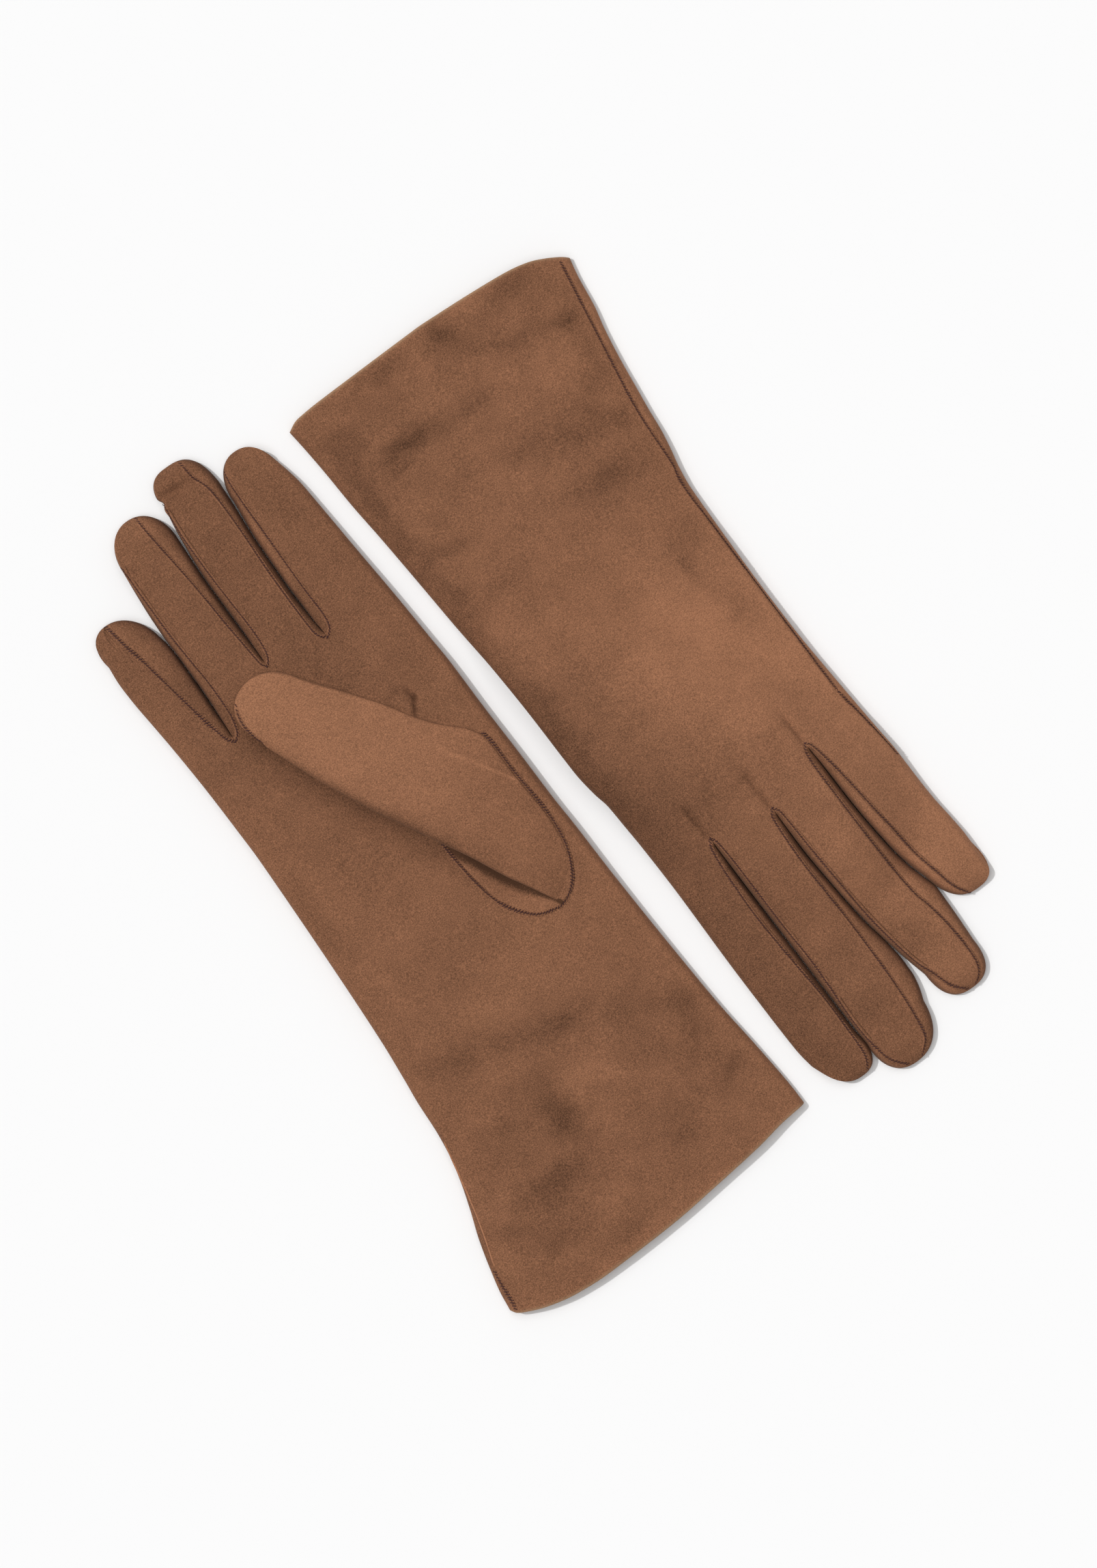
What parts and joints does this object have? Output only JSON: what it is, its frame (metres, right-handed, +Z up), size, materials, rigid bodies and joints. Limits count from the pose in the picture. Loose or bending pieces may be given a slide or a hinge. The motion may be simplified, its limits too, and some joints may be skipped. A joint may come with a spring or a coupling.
{
  "type": "pair of long suede dress gloves",
  "caption": "Pair of long flared suede gloves lying flat, one palm up and one back up, sewn with fourchettes, let-in thumbs and open cuffs.",
  "frame": {"origin": "centre of the pair seen from above, on the surface that it lies on", "axes": "+Y runs along the right-hand glove towards its fingertips, +X from its little finger to its index finger and on to the left-hand glove, and +Z up from the surface"},
  "size_m": [0.224, 0.3172, 0.0187],
  "materials": {
    "suede": "napped suede, matt",
    "thread": "matt sewing thread"
  },
  "bodies": {
    "left_cuff": {"left_cuff_side_seam_thread": "thread", "left_cuff_trank": "suede", "left_wrist_crease": "suede"},
    "left_hand": {"left_hand_side_seam_thread": "thread", "left_hand_trank": "suede", "left_index_crease": "suede", "left_little_crease": "suede", "left_middle_crease": "suede", "left_ring_crease": "suede", "left_thumb_base": "suede", "left_thumb_crease": "suede", "left_thumb_seam_thread": "thread"},
    "left_index_finger": {"left_index_middle_side_fourchette": "suede", "left_index_seam_thread": "thread", "left_index_trank": "suede"},
    "left_little_finger": {"left_little_back_strip": "suede", "left_little_palm_strip": "suede", "left_little_ring_side_fourchette": "suede", "left_little_seam_thread": "thread"},
    "left_middle_finger": {"left_middle_back_strip": "suede", "left_middle_index_side_fourchette": "suede", "left_middle_little_side_fourchette": "suede", "left_middle_palm_strip": "suede", "left_middle_seam_thread": "thread"},
    "left_ring_finger": {"left_ring_back_strip": "suede", "left_ring_index_side_fourchette": "suede", "left_ring_little_side_fourchette": "suede", "left_ring_palm_strip": "suede", "left_ring_seam_thread": "thread"},
    "left_thumb": {"left_thumb": "suede"},
    "right_cuff": {"right_cuff_side_seam_thread": "thread", "right_cuff_trank": "suede", "right_wrist_crease": "suede"},
    "right_hand": {"right_hand_side_seam_thread": "thread", "right_hand_trank": "suede", "right_index_crease": "suede", "right_little_crease": "suede", "right_middle_crease": "suede", "right_ring_crease": "suede", "right_thumb_base": "suede", "right_thumb_crease": "suede", "right_thumb_seam_thread": "thread"},
    "right_index_finger": {"right_index_middle_side_fourchette": "suede", "right_index_seam_thread": "thread", "right_index_trank": "suede"},
    "right_little_finger": {"right_little_back_strip": "suede", "right_little_palm_strip": "suede", "right_little_ring_side_fourchette": "suede", "right_little_seam_thread": "thread"},
    "right_middle_finger": {"right_middle_back_strip": "suede", "right_middle_index_side_fourchette": "suede", "right_middle_little_side_fourchette": "suede", "right_middle_palm_strip": "suede", "right_middle_seam_thread": "thread"},
    "right_ring_finger": {"right_ring_back_strip": "suede", "right_ring_index_side_fourchette": "suede", "right_ring_little_side_fourchette": "suede", "right_ring_palm_strip": "suede", "right_ring_seam_thread": "thread"},
    "right_thumb": {"right_thumb": "suede"}
  },
  "joints": [
    {"name": "left_glove_lift", "type": "slide", "parent": "right_cuff", "child": "left_cuff", "axis": [0, 0, 1], "range_m": [0, 0.2]},
    {"name": "right_wrist_bend", "type": "hinge", "parent": "right_cuff", "child": "right_hand", "pos_m": [-0.04812, -0.06037, 0.005], "axis": [1, 0, 0], "range_deg": [-45, 60], "deforming": ["right_wrist_crease"]},
    {"name": "right_thumb_open", "type": "hinge", "parent": "right_hand", "child": "right_thumb", "pos_m": [-0.02262, 0.00863, 0.0148], "axis": [0.9078, 0.4195, 0], "range_deg": [0, 80], "deforming": ["right_thumb_crease"]},
    {"name": "right_index_bend", "type": "hinge", "parent": "right_hand", "child": "right_index_finger", "pos_m": [-0.01792, 0.08663, 0.0047], "axis": [1, 0, 0], "range_deg": [-15, 75], "deforming": ["right_index_crease"]},
    {"name": "right_middle_bend", "type": "hinge", "parent": "right_hand", "child": "right_middle_finger", "pos_m": [-0.04282, 0.08863, 0.0047], "axis": [1, 0, 0], "range_deg": [-15, 75], "deforming": ["right_middle_crease"]},
    {"name": "right_ring_bend", "type": "hinge", "parent": "right_hand", "child": "right_ring_finger", "pos_m": [-0.06542, 0.08863, 0.0047], "axis": [1, 0, 0], "range_deg": [-15, 75], "deforming": ["right_ring_crease"]},
    {"name": "right_little_bend", "type": "hinge", "parent": "right_hand", "child": "right_little_finger", "pos_m": [-0.08762, 0.07663, 0.0047], "axis": [1, 0, 0], "range_deg": [-15, 75], "deforming": ["right_little_crease"]},
    {"name": "left_wrist_bend", "type": "hinge", "parent": "left_cuff", "child": "left_hand", "pos_m": [0.05592, 0.0574, 0.005], "axis": [0.9995, 0.0332, 0], "range_deg": [-45, 60], "deforming": ["left_wrist_crease"]},
    {"name": "left_thumb_open", "type": "hinge", "parent": "left_hand", "child": "left_thumb", "pos_m": [0.03261, -0.00891, 0.0036], "axis": [0.8934, 0.4493, 0], "range_deg": [0, 80], "deforming": ["left_thumb_crease"]},
    {"name": "left_index_bend", "type": "hinge", "parent": "left_hand", "child": "left_index_finger", "pos_m": [0.02848, -0.08659, 0.0047], "axis": [0.9995, 0.0332, 0], "range_deg": [-15, 75], "deforming": ["left_index_crease"]},
    {"name": "left_middle_bend", "type": "hinge", "parent": "left_hand", "child": "left_middle_finger", "pos_m": [0.05094, -0.08785, 0.00877], "axis": [0.9995, 0.0332, 0], "range_deg": [-15, 75], "deforming": ["left_middle_crease"]},
    {"name": "left_ring_bend", "type": "hinge", "parent": "left_hand", "child": "left_ring_finger", "pos_m": [0.07522, -0.08704, 0.01189], "axis": [0.9995, 0.0332, 0], "range_deg": [-15, 75], "deforming": ["left_ring_crease"]},
    {"name": "left_little_bend", "type": "hinge", "parent": "left_hand", "child": "left_little_finger", "pos_m": [0.09781, -0.07428, 0.00948], "axis": [0.9995, 0.0332, 0], "range_deg": [-15, 75], "deforming": ["left_little_crease"]}
  ]
}
